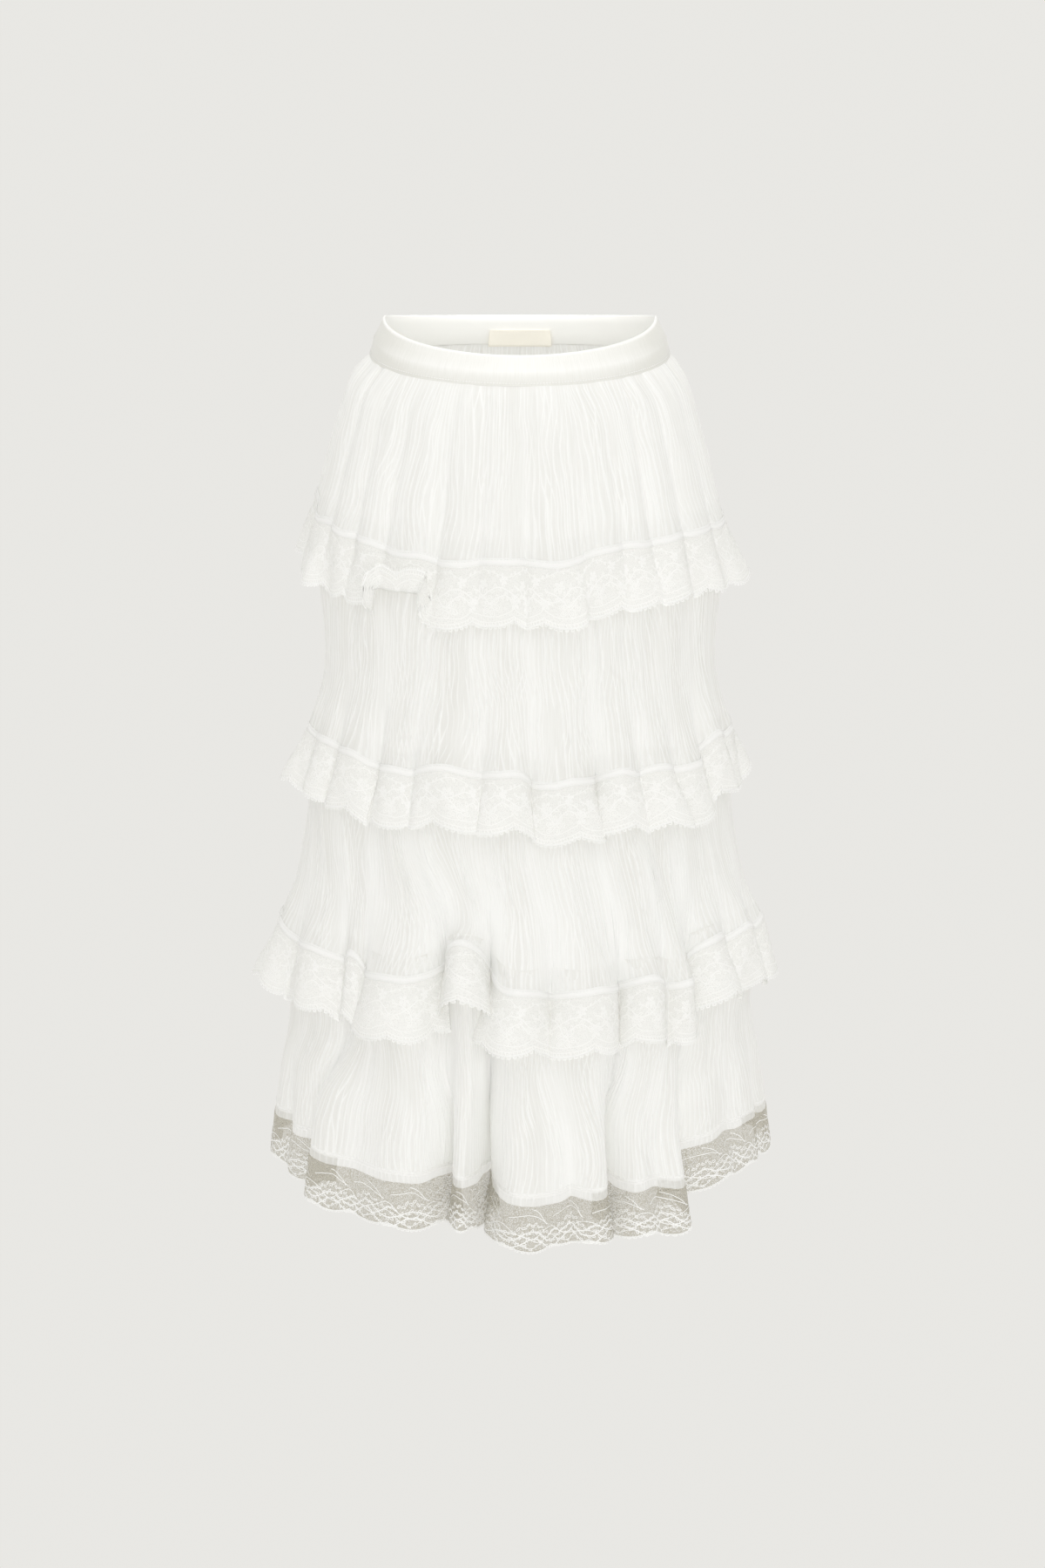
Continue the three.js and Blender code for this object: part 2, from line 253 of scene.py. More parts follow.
def make_object(name, points, faces, material, uv=None, **values):
    """A mesh that rides on the body. Each of the values is stored at its points under its name."""
    mesh = bpy.data.meshes.new(name)
    points = np.asarray(points, np.float64) * MM
    faces = np.asarray(faces, np.int32)
    size = faces.shape[1]
    mesh.vertices.add(len(points))
    mesh.vertices.foreach_set("co", points.ravel())
    mesh.loops.add(faces.size)
    mesh.loops.foreach_set("vertex_index", faces.ravel())
    mesh.polygons.add(len(faces))
    mesh.polygons.foreach_set("loop_start", np.arange(0, faces.size, size, dtype=np.int32))
    mesh.polygons.foreach_set("use_smooth", np.ones(len(faces), bool))
    mesh.update(calc_edges=True)
    if uv is not None:
        layer = mesh.uv_layers.new(name="flat")
        layer.data.foreach_set("uv", (np.asarray(uv, float) * MM)[faces.ravel()].ravel())
    for key, value in values.items():
        mesh.attributes.new(key, "FLOAT", "POINT").data.foreach_set("value", np.ravel(value).astype(float))
    mesh.validate()
    obj = bpy.data.objects.new(name, mesh)
    bpy.context.scene.collection.objects.link(obj)
    mesh.materials.append(material)
    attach(obj, "root")
    return obj


def grid_faces(rows, columns):
    """Four-sided faces over a grid of points."""
    i, j = np.meshgrid(np.arange(rows - 1), np.arange(columns - 1), indexing="ij")
    a = (i * columns + j).ravel()
    return np.stack([a, a + columns, a + columns + 1, a + 1], -1)


def cloth_object(name, grid, material, uv, inside_out=False, **values):
    """A piece of cloth over a grid of points, where uv says in mm how it lies flat."""
    faces = grid_faces(*grid.shape[:2])
    if inside_out:
        faces = faces[:, ::-1]
    return make_object(name, grid.reshape(-1, 3), faces, material, uv.reshape(-1, 2), **values)


def normals_of(grid):
    """Outward normals of a grid of points, rows downwards and columns to the wearer's left."""
    down = np.gradient(grid, axis=0)
    along = np.gradient(grid, axis=1)
    n = np.cross(down, along)
    return n / np.maximum(np.linalg.norm(n, axis=2, keepdims=True), 1e-9)


def close(grid, axis=1):
    """A grid or line with its start repeated at its end."""
    return np.concatenate([grid, np.take(grid, [0], axis)], axis)


def run_of(line):
    """Distances along a line of points."""
    return np.concatenate([[0], np.cumsum(np.linalg.norm(np.diff(line, axis=0), axis=1))])


def sides(half, columns):
    """Both halves of a closed grid: the name, the first column and the last."""
    return ("front", 0, half), ("back", half, columns)


# Materials


def new_material(name):
    """An empty material, with its nodes, its links and the socket of its surface."""
    mat = bpy.data.materials.new(name)
    mat.use_nodes = True
    nodes, links = mat.node_tree.nodes, mat.node_tree.links
    nodes.clear()
    return mat, nodes, links, nodes.new("ShaderNodeOutputMaterial").inputs["Surface"]


def new_node(nodes, kind, inputs):
    """A shader node with values for some of its inputs."""
    node = nodes.new(f"ShaderNode{kind}")
    for key, value in inputs.items():
        node.inputs[key].default_value = value
    return node


def feed(links, value, socket):
    """Gives a socket a number or another node's output."""
    if isinstance(value, (int, float)):
        socket.default_value = value
    else:
        links.new(value, socket)


def math_node(nodes, links, operation, *inputs):
    """A math node's output. Each input is a number or another node's output."""
    node = nodes.new("ShaderNodeMath")
    node.operation = operation
    for socket, value in zip(node.inputs, inputs):
        feed(links, value, socket)
    return node.outputs[0]


def mix_node(nodes, links, share, first, second):
    """A mix of two shader nodes, with a share of the second."""
    node = nodes.new("ShaderNodeMixShader")
    feed(links, share, node.inputs["Fac"])
    links.new(first.outputs[0], node.inputs[1])
    links.new(second.outputs[0], node.inputs[2])
    return node


def ramp_node(nodes, links, place, stops):
    """The colour at a place on a ramp between two stops, each a place and a colour."""
    ramp = nodes.new("ShaderNodeValToRGB")
    for element, (at, colour) in zip(ramp.color_ramp.elements, stops):
        element.position = at
        element.color = (*colour, 1)
    links.new(place, ramp.inputs["Fac"])
    return ramp.outputs["Color"]


def bump_node(nodes, links, height, strength, distance):
    """The normal of a relief that is a distance in mm high."""
    bump = new_node(nodes, "Bump", {"Strength": strength, "Distance": distance * MM})
    links.new(height, bump.inputs["Height"])
    return bump.outputs["Normal"]


def value_of(nodes, name):
    """A value stored at the points of the mesh."""
    node = nodes.new("ShaderNodeAttribute")
    node.attribute_name = name
    return node.outputs["Fac"]


def flat_place(nodes):
    """Where a point lies on the flat cloth."""
    node = nodes.new("ShaderNodeUVMap")
    node.uv_map = "flat"
    return node.outputs["UV"]


def crinkle_lines(nodes, links):
    """The crisp tops of both sets of crinkles, each drawn from its phase and its height."""
    total = 0.0
    for key, sharp, height in (("a", 15.0, 1.0), ("b", 13.0, 0.8)):
        turn = math_node(nodes, links, "MULTIPLY", value_of(nodes, f"phase_{key}"), 2 * math.pi)
        wave = math_node(nodes, links, "MULTIPLY_ADD", math_node(nodes, links, "COSINE", turn), 0.5, 0.5)
        line = math_node(nodes, links, "POWER", wave, sharp)
        line = math_node(nodes, links, "MULTIPLY", line, value_of(nodes, f"height_{key}"))
        total = math_node(nodes, links, "MULTIPLY_ADD", line, height, total)
    return total


# Of cloth: the length of its fine lines in times their spacing, how much they shade it, and how much paler
# and higher the tops of its crinkles are. The paler tops are a painted highlight.
LINE_LENGTH = 16
LINE_SHADE = 0.5
TOP_HIGHLIGHT = 1.7
TOP_HEIGHT = 0.25


def cloth_material(name, low, high, roughness, lines, relief, through=0.1, crinkled=False, sheer=False):
    """White cloth: its tone runs from the low to the high colour, over fine lines along the warp. Where the
    tone follows its creases and crests, the low colour is painted shade and the high colour painted
    highlight.

    `lines` is the spacing of the fine lines in mm, `relief` their height, and `through` the share of light
    that passes.
    """
    mat, nodes, links, surface = new_material(name)
    shader = new_node(nodes, "BsdfPrincipled", {
        "Roughness": roughness,
        "Sheen Weight": 0.15,
        "Specular IOR Level": 0.25,
    })
    stretch = new_node(nodes, "Mapping", {"Scale": (1 / (lines * MM), 1 / (LINE_LENGTH * lines * MM), 1)})
    links.new(flat_place(nodes), stretch.inputs["Vector"])
    threads = new_node(nodes, "TexNoise", {"Scale": 1.0, "Detail": 2.0, "Distortion": 0.6})
    links.new(stretch.outputs["Vector"], threads.inputs["Vector"])
    lined = threads.outputs["Fac"]
    shade = math_node(nodes, links, "MULTIPLY_ADD", lined, LINE_SHADE, value_of(nodes, "tone"))
    height = math_node(nodes, links, "MULTIPLY", lined, relief)
    if crinkled:
        # The tops of the crinkles are drawn paler, a painted highlight where they catch the light.
        tops = crinkle_lines(nodes, links)
        shade = math_node(nodes, links, "MULTIPLY_ADD", tops, TOP_HIGHLIGHT, shade)
        height = math_node(nodes, links, "MULTIPLY_ADD", tops, TOP_HEIGHT, height)
    colour = ramp_node(nodes, links, shade, ((0.3, low), (1.0, high)))
    links.new(colour, shader.inputs["Base Color"])
    links.new(bump_node(nodes, links, height, 1.0, 1.0), shader.inputs["Normal"])
    glow = nodes.new("ShaderNodeBsdfTranslucent")
    links.new(colour, glow.inputs["Color"])
    last = mix_node(nodes, links, through, shader, glow)
    if sheer:
        clear = nodes.new("ShaderNodeBsdfTransparent")
        last = mix_node(nodes, links, value_of(nodes, "sheer"), last, clear)
    links.new(last.outputs[0], surface)
    return mat


def net_material(name, colour, hole, thread, ground):
    """Lace net: fine threads around round holes, on a ground that is partly seen through.

    `hole` is the spacing of the holes in mm, `thread` the share of it that is thread, and `ground` how far
    the holes are filled.
    """
    mat, nodes, links, surface = new_material(name)
    shader = new_node(nodes, "BsdfPrincipled", {
        "Base Color": (*colour, 1),
        "Roughness": 0.85,
        "Specular IOR Level": 0.2,
    })
    cells = new_node(nodes, "TexVoronoi", {"Scale": 1 / (hole * MM)})
    cells.feature = "DISTANCE_TO_EDGE"
    links.new(flat_place(nodes), cells.inputs["Vector"])
    solid = new_node(nodes, "MapRange", {
        "From Min": thread * 0.6,
        "From Max": thread * 1.4,
        "To Min": 0.95,
        "To Max": ground,
    })
    links.new(cells.outputs["Distance"], solid.inputs["Value"])
    fill = math_node(nodes, links, "MAXIMUM", solid.outputs["Result"], value_of(nodes, "tone"))
    glow = new_node(nodes, "BsdfTranslucent", {"Color": (*colour, 1)})
    body = mix_node(nodes, links, 0.15, shader, glow)
    clear = nodes.new("ShaderNodeBsdfTransparent")
    links.new(mix_node(nodes, links, fill, clear, body).outputs[0], surface)
    return mat


def thread_material(name, colour, twist, roughness):
    """Twisted cord or sewing thread, with the turns of its yarn as fine relief."""
    mat, nodes, links, surface = new_material(name)
    shader = new_node(nodes, "BsdfPrincipled", {"Roughness": roughness, "Sheen Weight": 0.2})
    turns = new_node(nodes, "TexNoise", {"Scale": twist})
    links.new(nodes.new("ShaderNodeTexCoord").outputs["Object"], turns.inputs["Vector"])
    dull = [c * 0.93 for c in colour]
    shade = ramp_node(nodes, links, turns.outputs["Fac"], ((0.3, dull), (0.6, colour)))
    links.new(shade, shader.inputs["Base Color"])
    links.new(bump_node(nodes, links, turns.outputs["Fac"], 0.5, 0.3), shader.inputs["Normal"])
    links.new(shader.outputs["BSDF"], surface)
    return mat


# The chiffon's low colour is a painted shade for its creases, and the crests of its crinkles are drawn
# towards WHITE.
CREASE_SHADE = (0.85, 0.845, 0.82)
WHITE = (0.985, 0.987, 0.98)
CRINKLED = dict(roughness=0.85, lines=2.2, relief=0.12, through=0.18, crinkled=True)
CHIFFON = cloth_material("crinkled_chiffon", CREASE_SHADE, WHITE, **CRINKLED)
SHEER_HEM = cloth_material("crinkled_chiffon_hem", CREASE_SHADE, WHITE, sheer=True, **CRINKLED)
TAPE = cloth_material("hem_tape", (0.97, 0.969, 0.96), (0.985, 0.985, 0.98), roughness=0.5, lines=0.9,
                      relief=0.15)
NET = net_material("lace_net", (0.95, 0.95, 0.935), hole=1.7, thread=0.16, ground=0.86)
# The hem net is painted dark grey, a painted shade for the shadowed inside of the skirt seen through it.
SHADED_HEM_NET = net_material("hem_lace_net_painted_shade", (0.555, 0.53, 0.463), hole=1.7, thread=0.12, ground=0.3)
CORD = thread_material("lace_cord", (0.985, 0.985, 0.975), twist=1600, roughness=0.7)
THREAD = thread_material("sewing_thread", (0.97, 0.968, 0.955), twist=2500, roughness=0.6)
# Between these two colours the band's tone paints its satin sheen, its shade and the light on its inside.
SATIN = cloth_material("band_satin", (0.76, 0.755, 0.715), (0.955, 0.953, 0.935), roughness=0.36, lines=0.8,
                       relief=0.06, through=0.0)
LABEL = cloth_material("label_cloth", (0.95, 0.90, 0.80), (0.97, 0.94, 0.86), roughness=0.55, lines=0.7,
                       relief=0.1, through=0.0)


# The four tiers

# Spacing of a tier's points along the hem and down the cloth.
CELL = 1.8
ROW = 5.5
# The height of the sheer edge of the lowest tier.
HEM_EDGE = 9.0
# The even rows end this far above the hem, and those below them are at these heights.
EVEN_END = HEM_EDGE + 3.2
HEM_ROWS = [HEM_EDGE + 2.6, HEM_EDGE + 0.4, HEM_EDGE - 0.2, 6.0, 3.0, 0.0]
# How far two of the hems arch up over each fold.
ARCH = {1: 6.0, 2: 10.0}
# Cloth this far behind the crest of its fold counts as deepest, and the deeper it lies the paler it is drawn:
# painted light that softens the shade in deep folds.
SUNK = 30.0
# Spacing of both sets of crinkles.
PITCHES = {"phase_a": 7.6, "phase_b": 5.2}


def hem_positions(tier, cell):
    """Fold positions evenly spaced along a tier's hem, the side seams among them.

    Returns them with their distances along the hem, how many are in front, and the hem's length.
    """
    s = np.linspace(0, COUNT, FINE + 1)
    length = run_of(above_hem(tier, 0, s)[:, :2])
    middle = length[FINE // 2]
    halves = []
    for a, b in ((0, middle), (middle, length[-1])):
        halves.append(np.linspace(a, b, int(round((b - a) / cell)), endpoint=False))
    where = np.concatenate(halves)
    return np.interp(where, length, s), where, len(halves[0]), length[-1]


def hem_shift(tier, s, along, total):
    """Small rises and falls of a hem, and how it arches up over each fold of two tiers."""
    shift = 1.9 * noise_round(60 + tier, round(total / 21), along, total)
    if tier in ARCH:
        shift = shift + ARCH[tier] * (np.sin(math.pi * across(s)) - 0.6)
    return shift


def hang(lines, drops, wanted, straight):
    """Rows at the wanted drops on a smooth curve through the lines, whose first stretch may be straight."""
    slopes = np.gradient(lines, drops, axis=0)
    rows = []
    for drop in wanted:
        k = min(np.searchsorted(drops, drop, side="right") - 1, len(drops) - 2)
        h = drops[k + 1] - drops[k]
        t = (drop - drops[k]) / h
        if straight and k == 0:
            rows.append(lines[k] * (1 - t) + lines[k + 1] * t)
            continue
        a = 2 * t ** 3 - 3 * t ** 2 + 1
        b = t ** 3 - 2 * t ** 2 + t
        c = t ** 3 - t ** 2
        rows.append(a * lines[k] + b * h * slopes[k] + (1 - a) * lines[k + 1] + c * h * slopes[k + 1])
    return np.array(rows)


def tier_surface(tier):
    """A tier before its crinkles.

    Returns its grid of points, their distances along the hem, how many columns are in front, the hem's
    length, each row's share of the way down, and how deep each column lies in its fold, from 0 to 1.
    """
    s, along, half, total = hem_positions(tier, CELL)
    rings = TIERS[tier]
    lines = [tier_line(tier, ring, s) for ring in rings]
    drops = [ring["drop"] for ring in rings]
    softness = [ring["soft"] for ring in rings]
    if tier:
        before = TIERS[tier - 1][-1]
        seam = above_hem(tier - 1, JOIN_HEIGHT, s)
        inside = above_hem(tier - 1, 0, s)
        lines = [seam - outward(seam) * JOIN_INSET, inside - outward(inside) * HEM_INSET] + lines
        drops = [before["drop"] - JOIN_HEIGHT, before["drop"]] + drops
        softness = [before["soft"], before["soft"]] + softness
    lines = [blur(line, soft / CELL) for line, soft in zip(lines, softness)]
    lines[-1][:, 2] += hem_shift(tier, s, along, total)
    lines, drops = np.array(lines), np.array(drops, float)
    end = drops[-1] - EVEN_END
    wanted = np.linspace(drops[0], end, int(round((end - drops[0]) / ROW)) + 1)
    wanted = np.concatenate([wanted, drops[-1] - np.array(HEM_ROWS)])
    grid = hang(lines, drops, wanted, straight=tier > 0)
    sunk = np.clip((OUT[fold_of(s), tier] - fold_height(tier, s)) / SUNK, 0, 1)
    return grid, along, half, total, (wanted - wanted[0]) / (wanted[-1] - wanted[0]), sunk


def crinkle(tier, along, total, depth):
    """The phase and the height of both sets of wavy crinkles over a grid, and the soft swells."""
    x, y = np.meshgrid(along, depth)

    def field(k, width, height):
        return noise_round(100 * tier + k, round(total / width), x, total, y / height)

    def lines(k, pitch):
        sway = 8 / pitch * (1.1 * field(k, 40, 58) + 0.35 * field(k + 1, 16, 26))
        phase = x * round(total / pitch) / total + sway
        return phase, np.clip(0.62 + 1.0 * field(k + 2, 11, 60), 0.05, 1.3)

    return lines(1, PITCHES["phase_a"]), lines(4, PITCHES["phase_b"]), field(7, 24, 150)


def crests(phase, height):
    """How high the cloth stands in one set of crinkles."""
    return (0.5 + 0.5 * np.cos(2 * math.pi * phase)) ** 2 * height


def tier_relief(tier, along, total, share, sunk, depth):
    """How far a tier's crinkles and gathers stand out, and the values that its material draws from."""
    (phase_a, height_a), (phase_b, height_b), swell = crinkle(tier, along, total, depth)
    main, lower = crests(phase_a, height_a), crests(phase_b, height_b)
    gathers = noise_round(7 + tier, round(total / 13), along[None, :], total, depth[:, None] / 120)
    v = share[:, None]
    if tier == 0:
        base, strength = 0.35, 0.12 + 0.36 * v
        gathered = 2.4 * np.exp(-v / 0.32) * np.clip(v / 0.03, 0, 1)
    else:
        base, strength = 0.27, 0.6
        gathered = 1.2 * np.exp(-v / 0.5)
    # The crinkles are calm near the hem and the seam.
    above = (1 - v) * depth[-1]
    calm = np.clip(above / 9, 0.25, 1) * np.clip(v * depth[-1] / 6, 0, 1)
    relief = calm * (strength * (0.5 * main + 0.3 * lower - 0.2 + 0.8 * swell) + gathered * gathers)
    # The crests of the crinkles and gathers are drawn paler, a painted highlight, and cloth deep in its folds
    # is drawn paler towards the hem, painted light against the shade there.
    tone = base + 0.12 * main + 0.08 * lower + 0.1 * gathers + 0.7 * sunk * v
    fade = (strength + 0.2) * calm
    values = dict(tone=tone, phase_a=phase_a, phase_b=phase_b)
    values.update(height_a=height_a * fade, height_b=height_b * fade)
    if tier == LOWEST:
        values["sheer"] = np.broadcast_to(0.3 * (above < HEM_EDGE), tone.shape)
        tone[(above[:, 0] > HEM_EDGE) & (above[:, 0] < HEM_EDGE + 3)] = 1.0
    values = {key: close(value) for key, value in values.items()}
    for key, pitch in PITCHES.items():
        values[key][:, -1] += round(total / pitch)
    return relief, values


def build_tier(tier):
    """The front and the back of a tier. Returns its grid before the crinkles and its columns in front."""
    grid, along, half, total, share, sunk = tier_surface(tier)
    depth = share * np.linalg.norm(grid[-1] - grid[0], axis=1).mean()
    relief, values = tier_relief(tier, along, total, share, sunk, depth)
    closed = close(grid + normals_of(grid) * relief[..., None])
    run = np.append(along, total)
    for side, a, b in sides(half, len(along)):
        name = f"tier_{tier + 1}_{side}"
        part = closed[:, a:b + 1]
        uv = np.stack(np.meshgrid(run[a:b + 1], -depth), -1)
        looks = {key: value[:, a:b + 1] for key, value in values.items()}
        obj = cloth_object(f"{name}_cloth", part, SHEER_HEM if tier == LOWEST else CHIFFON, uv, **looks)
        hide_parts(name)
        sewn = []
        if tier == LOWEST:
            lines = [height_line(part, depth, height) for height in (HEM_EDGE, HEM_EDGE + 2)]
            sewn = [sew(f"{name}_stitches", lines, 3.2)]
    return grid, half


# Stitches and hem tapes

STITCH_WIDTH = 0.8
STITCH_HEIGHT = 0.35
# How much of its pitch a stitch fills.
STITCH_SHARE = 0.7
# The tape from its upper edge to its turned lower edge: down from the hem line, and out from it.
TAPE_PROFILE = [(-TAPE_HEIGHT - 0.2, 0.3), (-TAPE_HEIGHT + 0.2, 1.0), (-0.7, 1.0), (0.2, 0.5), (0.2, -0.4)]


def cords(paths, width, height):
    """Flat ribbons, or roofs of a height, along paths of (points, normals). Returns points and faces."""
    offsets = [(0.5, 0), (0, 1), (-0.5, 0)] if height else [(0.5, 0), (-0.5, 0)]
    strips, faces, base = [], [], 0
    for points, normals in paths:
        side = np.cross(np.gradient(points, axis=0), normals)
        side /= np.maximum(np.linalg.norm(side, axis=1, keepdims=True), 1e-9)
        strip = [points + side * width * a + normals * height * b for a, b in offsets]
        strips.append(np.stack(strip, 1).reshape(-1, 3))
        n, m = len(points), len(offsets)
        i = np.arange(n - 1)[:, None] * m + base
        for k in range(m - 1):
            faces.append(np.concatenate([i + k, i + k + m, i + k + m + 1, i + k + 1], 1))
        base += m * n
    return np.concatenate(strips), np.concatenate(faces)


def join(parts):
    """Joins (points, faces) pairs into one."""
    points = np.concatenate([p for p, f in parts])
    starts = np.cumsum([0] + [len(p) for p, f in parts])
    return points, np.concatenate([f + s for (p, f), s in zip(parts, starts)])


def height_line(grid, depth, height):
    """The line of a cloth grid a height above its lower edge, with its outward normals."""
    at = depth[-1] - height
    i = min(np.searchsorted(depth, at) - 1, len(depth) - 2)
    t = (at - depth[i]) / (depth[i + 1] - depth[i])
    normals = normals_of(grid)[i]
    return grid[i] * (1 - t) + grid[i + 1] * t + normals * 0.25, normals


def sew(name, lines, pitch):
    """Short raised stitches along lines of (points, normals)."""
    paths = []
    for line in lines:
        run = run_of(line[0])
        for start in np.arange(0, run[-1] - pitch, pitch):
            at = np.array([start, start + pitch * STITCH_SHARE])
            paths.append([np.stack([np.interp(at, run, a[:, k]) for k in range(3)], -1) for a in line])
    obj = make_object(name, *cords(paths, STITCH_WIDTH, STITCH_HEIGHT), THREAD)
    return obj


def build_tape(tier, grid, half):
    """A flat tape over the hem, turned under at its lower edge, with two rows of stitches."""
    hem = grid[-1]
    down = hem - grid[-3]
    down /= np.linalg.norm(down, axis=1, keepdims=True)
    out = outward(hem)
    closed = close(np.array([hem + down * z + out * o for z, o in TAPE_PROFILE]))
    normals = close(out, 0)
    for side, a, b in sides(half, len(hem)):
        name = f"hem_tape_{tier + 1}_{side}"
        part = closed[:, a:b + 1]
        n = normals[a:b + 1]
        run = run_of(part[1])
        uv = np.stack(np.meshgrid(run, [z for z, o in TAPE_PROFILE]), -1)
        obj = cloth_object(f"{name}_cloth", part, TAPE, uv, tone=np.full(part.shape[:2], 0.6))
        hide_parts(name)
        rows = [(part[1] * (1 - share) + part[2] * share + n * 0.05, n) for share in (0.2, 0.9)]
        sewn = sew(f"{name}_stitches", rows, 3.0)


# Lace ruffles

# The length of one repeat of the lace's pattern.
REPEAT = 50.0
# Where a ruffle stands out further: fold position, width in folds, and degrees.
SPREAD = {
    0: [(23.3, 0.5, 5), (0.3, 0.4, 2), (11.8, 0.6, 9)],
    1: [(0.4, 0.4, 12), (12.5, 0.5, 20)],
    2: [(0.3, 0.5, 10), (11.7, 0.5, 10), (4.5, 0.3, 16)],
}
# The flap of the uppermost ruffle: the fold positions where it starts, ends and leans over, and how far
# down the lace it turns up.
FLAP_START = 2.93
FLAP_END = 4.12
FLAP_LEAN = 4.1
FLAP_FOLD = 32.0


def scallop_edge(u, scallop):
    """How much shorter the lace is at distance u along it: one rounded scallop each repeat."""
    t = (u / REPEAT) % 1.0
    return scallop * (1 - np.sin(math.pi * t) ** 0.7)


class Ruffle:
    """The surface of a lace ruffle. It maps flat lace coordinates onto the gathered shape."""

    CELL = 2.4
    ROWS = 20

    def __init__(self, tier):
        self.tier = tier
        self.lace = LACES[tier]
        self.s, self.along, self.half, self.total = hem_positions(tier, self.CELL)
        self.length = self.lace["length"]
        self.repeats = round(self.total * self.lace["gather"] / REPEAT)
        stretch = self.repeats * REPEAT / self.total
        self.period = self.total * stretch
        uneven = self.waver(910, round(self.total / 30))
        self.flat = self.along * stretch + 7.0 * (uneven - uneven[0])
        self.edge = self.length - scallop_edge(self.flat, self.lace["scallop"])
        self.turned = np.zeros(len(self.s))
        if tier == 0:
            self.turned = smooth((self.s - FLAP_START) / 0.25) * smooth((FLAP_END - self.s) / 0.2)
        self.grid = self.drape()
        self.normal = normals_of(self.grid)

    def waver(self, seed, cells):
        """Noise round the hem, in so many cells."""
        return noise_round(seed + self.tier, cells, self.along, self.total)

    def angles(self, w):
        """How far the lace leans out from straight down, at distances w down it."""
        lean = math.atan2(self.lace["flare"], self.length) + np.radians(7.0) * self.waver(970, 22)
        for at, width, more in SPREAD.get(self.tier, []):
            away = (self.s - at + COUNT / 2) % COUNT - COUNT / 2
            lean = lean + np.radians(more) * np.exp(-(away / width) ** 2)
        return lean + self.turned * math.pi * 0.95 * smooth((w - FLAP_FOLD + 4) / 8)

    def drape(self):
        """The points of the ruffle, from its seam to its edge."""
        hem = blur(above_hem(self.tier, 0, self.s), TIERS[self.tier][-1]["soft"] / self.CELL)
        hem[:, 2] += hem_shift(self.tier, self.s, self.along, self.total)
        out = outward(blur(hem, 4))
        w = np.linspace(0, 1, self.ROWS)[:, None] * self.edge[None, :]
        grow = smooth(w / self.length * 1.1)
        angle = self.angles(w)
        middle = (angle[1:] + angle[:-1]) / 2
        step = np.diff(w, axis=0)
        start = np.zeros((1, len(self.s)))
        go_out = np.concatenate([start, np.cumsum(step * np.sin(middle), 0)])
        go_down = np.concatenate([start, np.cumsum(step * np.cos(middle), 0)])
        flutes = round(self.total / 29)
        swing = self.waver(900, flutes) * 1.2 + 0.35 * self.waver(950, flutes * 2)
        go_out = go_out + self.lace["wave"] * grow * (swing + 0.7) * (1 - 0.5 * self.turned)
        pleat = self.waver(990, round(self.total / 6))
        go_out = go_out + pleat * np.exp(-w / 9) * np.clip(w / 1.5, 0, 1) + 0.4
        sag = 1.5 * self.waver(930, round(self.total / 60))
        swept = np.zeros(w.shape)
        if self.tier == 0:
            swept = -7.0 * np.exp(-((self.s - FLAP_LEAN) / 0.16) ** 2) * smooth(w / self.length)
        sideways = np.cross(out, [0, 0, -1.0])
        hanging = hem + (blur(hem, 9 / self.CELL) - hem) * (0.75 * grow)[..., None]
        grid = hanging + out * go_out[..., None] + sideways * swept[..., None]
        grid[..., 2] -= go_down + sag * grow
        return grid

    def at(self, u, w, lift):
        """Points and normals at flat distances u along the lace and w down it, with a lift off its face."""
        n = len(self.flat)
        x = np.interp(u % self.period, np.append(self.flat, self.period), np.arange(n + 1))
        j = np.floor(x).astype(int)
        fx = (x - j)[:, None]
        j0, j1 = j % n, (j + 1) % n
        edge = self.edge[j0] * (1 - fx[:, 0]) + self.edge[j1] * fx[:, 0]
        y = np.clip(w / edge, 0, 1.06) * (self.ROWS - 1)
        i = np.minimum(np.floor(y).astype(int), self.ROWS - 2)
        fy = (y - i)[:, None]

        def pick(a):
            top = a[i, j0] * (1 - fx) + a[i, j1] * fx
            low = a[i + 1, j0] * (1 - fx) + a[i + 1, j1] * fx
            return top * (1 - fy) + low * fy

        p, q = pick(self.grid), pick(self.normal)
        q = q / np.maximum(np.linalg.norm(q, axis=1, keepdims=True), 1e-9)
        q = q * np.where((self.turned[j0] > 0.5) & (w > FLAP_FOLD), -1, 1)[:, None]
        return p + q * lift, q


def ellipse(cx, cy, a, b, turn, n=8):
    """The outline of an ellipse, in n straight steps."""
    t = np.linspace(0, 2 * math.pi, n + 1)
    x, y = a * np.cos(t), b * np.sin(t)
    c, d = math.cos(turn), math.sin(turn)
    return np.stack([cx + x * c - y * d, cy + x * d + y * c], -1)


def flower(cx, cy, radius, petals, turn):
    """The petal outlines of a flower, and its centre ring."""
    shapes = [ellipse(cx, cy, 0.2 * radius, 0.2 * radius, 0, 6)]
    for k in range(petals):
        a = turn + 2 * math.pi * k / petals
        x, y = cx + 0.62 * radius * math.cos(a), cy + 0.62 * radius * math.sin(a)
        shapes.append(ellipse(x, y, 0.4 * radius, 0.25 * radius, a))
        shapes.append(ellipse(x, y, 0.2 * radius, 0.1 * radius, a, 5))
    return shapes


def sprig(line, leaves, size, start=0, spread=0.8):
    """Leaves on alternate sides of a stem."""
    shapes = []
    for k in range(leaves):
        i = (k + 0.5) / leaves * (len(line) - 1)
        j = int(i)
        run = line[j + 1] - line[j]
        p = line[j] + run * (i - j)
        side = 1 if (k + start) % 2 else -1
        turn = math.atan2(run[1], run[0]) + side * spread
        x, y = p[0] + size * math.cos(turn), p[1] + size * math.sin(turn)
        shapes.append(ellipse(x, y, size, size * 0.4, turn, 6))
    return shapes


def wavy(u, level, height, shift):
    """A wavy line through the repeat at a level down the lace."""
    return np.stack([u, level + height * np.sin(2 * math.pi * u / REPEAT + shift)], -1)


def bead_row(length, scallop, count, drop, height):
    """Beads all along the scalloped edge, a drop below it."""
    beads = []
    for x in np.arange(2.5, REPEAT, REPEAT / count):
        beads.append(ellipse(x, length - scallop_edge(x, scallop) + drop, 1.5, height, 0, 5))
    return beads


